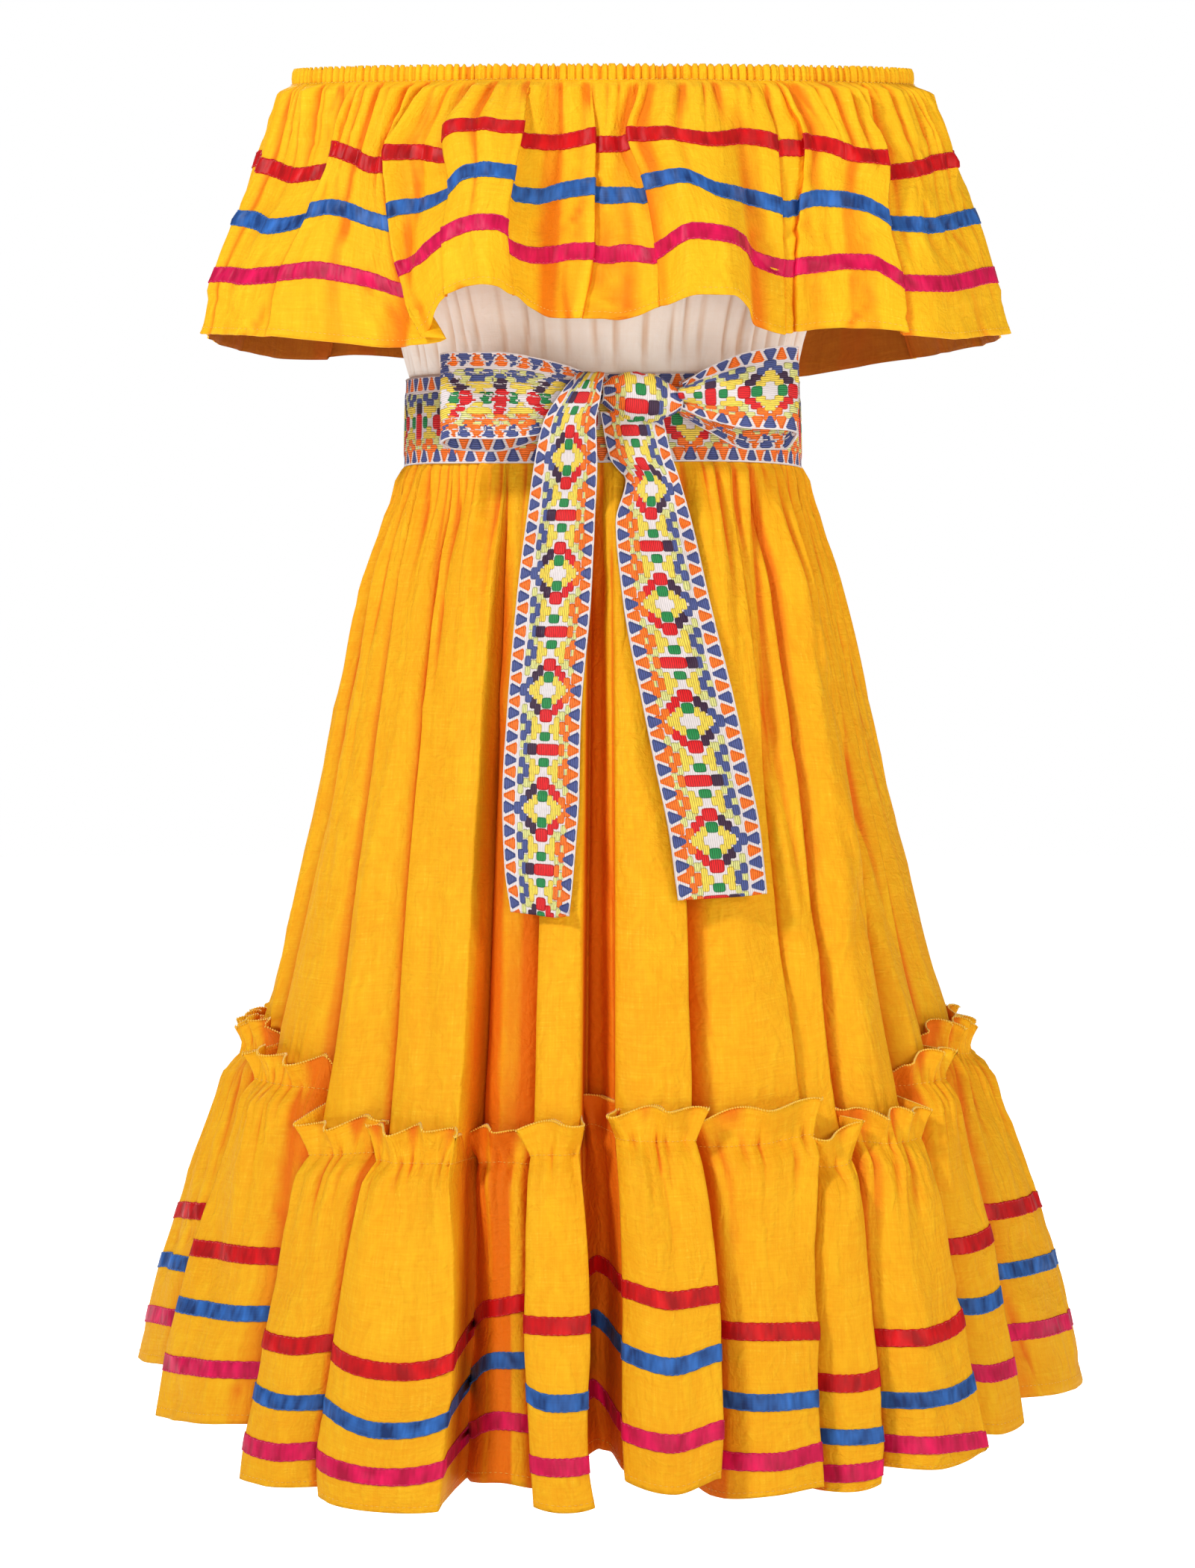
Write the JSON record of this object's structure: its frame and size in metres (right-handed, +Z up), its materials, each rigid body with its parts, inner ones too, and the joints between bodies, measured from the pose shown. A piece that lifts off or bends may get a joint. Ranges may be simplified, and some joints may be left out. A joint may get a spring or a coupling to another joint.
{
  "type": "off-the-shoulder flounce dress with a woven sash",
  "caption": "Girl's off-the-shoulder yellow cotton dress with an elastic neck, ribbon-trimmed flounce, gathered tiered skirt and a woven sash tied in a bow.",
  "frame": {"origin": "centre of the open neckline, level with its upper edge at the shoulders, where the wearer holds the dress up", "axes": "+Z up towards the neckline, -Y to the front where the bow is, +X to the wearer's left"},
  "size_m": [0.5376, 0.475, 0.7891],
  "materials": {
    "yellow_cotton": "crinkled woven cotton, soft sheen",
    "cream_gauze": "thin crinkled gauze, matte",
    "satin_red": "satin ribbon",
    "satin_blue": "satin ribbon",
    "satin_magenta": "satin ribbon",
    "woven_sash": "woven band with raised floats"
  },
  "bodies": {
    "root": {"bodice_back": "cream_gauze", "bodice_front": "cream_gauze", "flounce_back": "yellow_cotton", "flounce_front": "yellow_cotton", "flounce_ribbon_blue_back": "satin_blue", "flounce_ribbon_blue_front": "satin_blue", "flounce_ribbon_magenta_back": "satin_magenta", "flounce_ribbon_magenta_front": "satin_magenta", "flounce_ribbon_red_back": "satin_red", "flounce_ribbon_red_front": "satin_red", "neck_casing_back": "yellow_cotton", "neck_casing_front": "yellow_cotton", "sash_band": "woven_sash", "sash_knot": "woven_sash", "sash_loop_left": "woven_sash", "sash_loop_right": "woven_sash", "sash_tail_left": "woven_sash", "sash_tail_right": "woven_sash", "skirt_back": "yellow_cotton", "skirt_front": "yellow_cotton", "tier_back": "yellow_cotton", "tier_front": "yellow_cotton", "tier_ribbon_blue_back": "satin_blue", "tier_ribbon_blue_front": "satin_blue", "tier_ribbon_magenta_back": "satin_magenta", "tier_ribbon_magenta_front": "satin_magenta", "tier_ribbon_red_back": "satin_red", "tier_ribbon_red_front": "satin_red"}
  },
  "joints": []
}
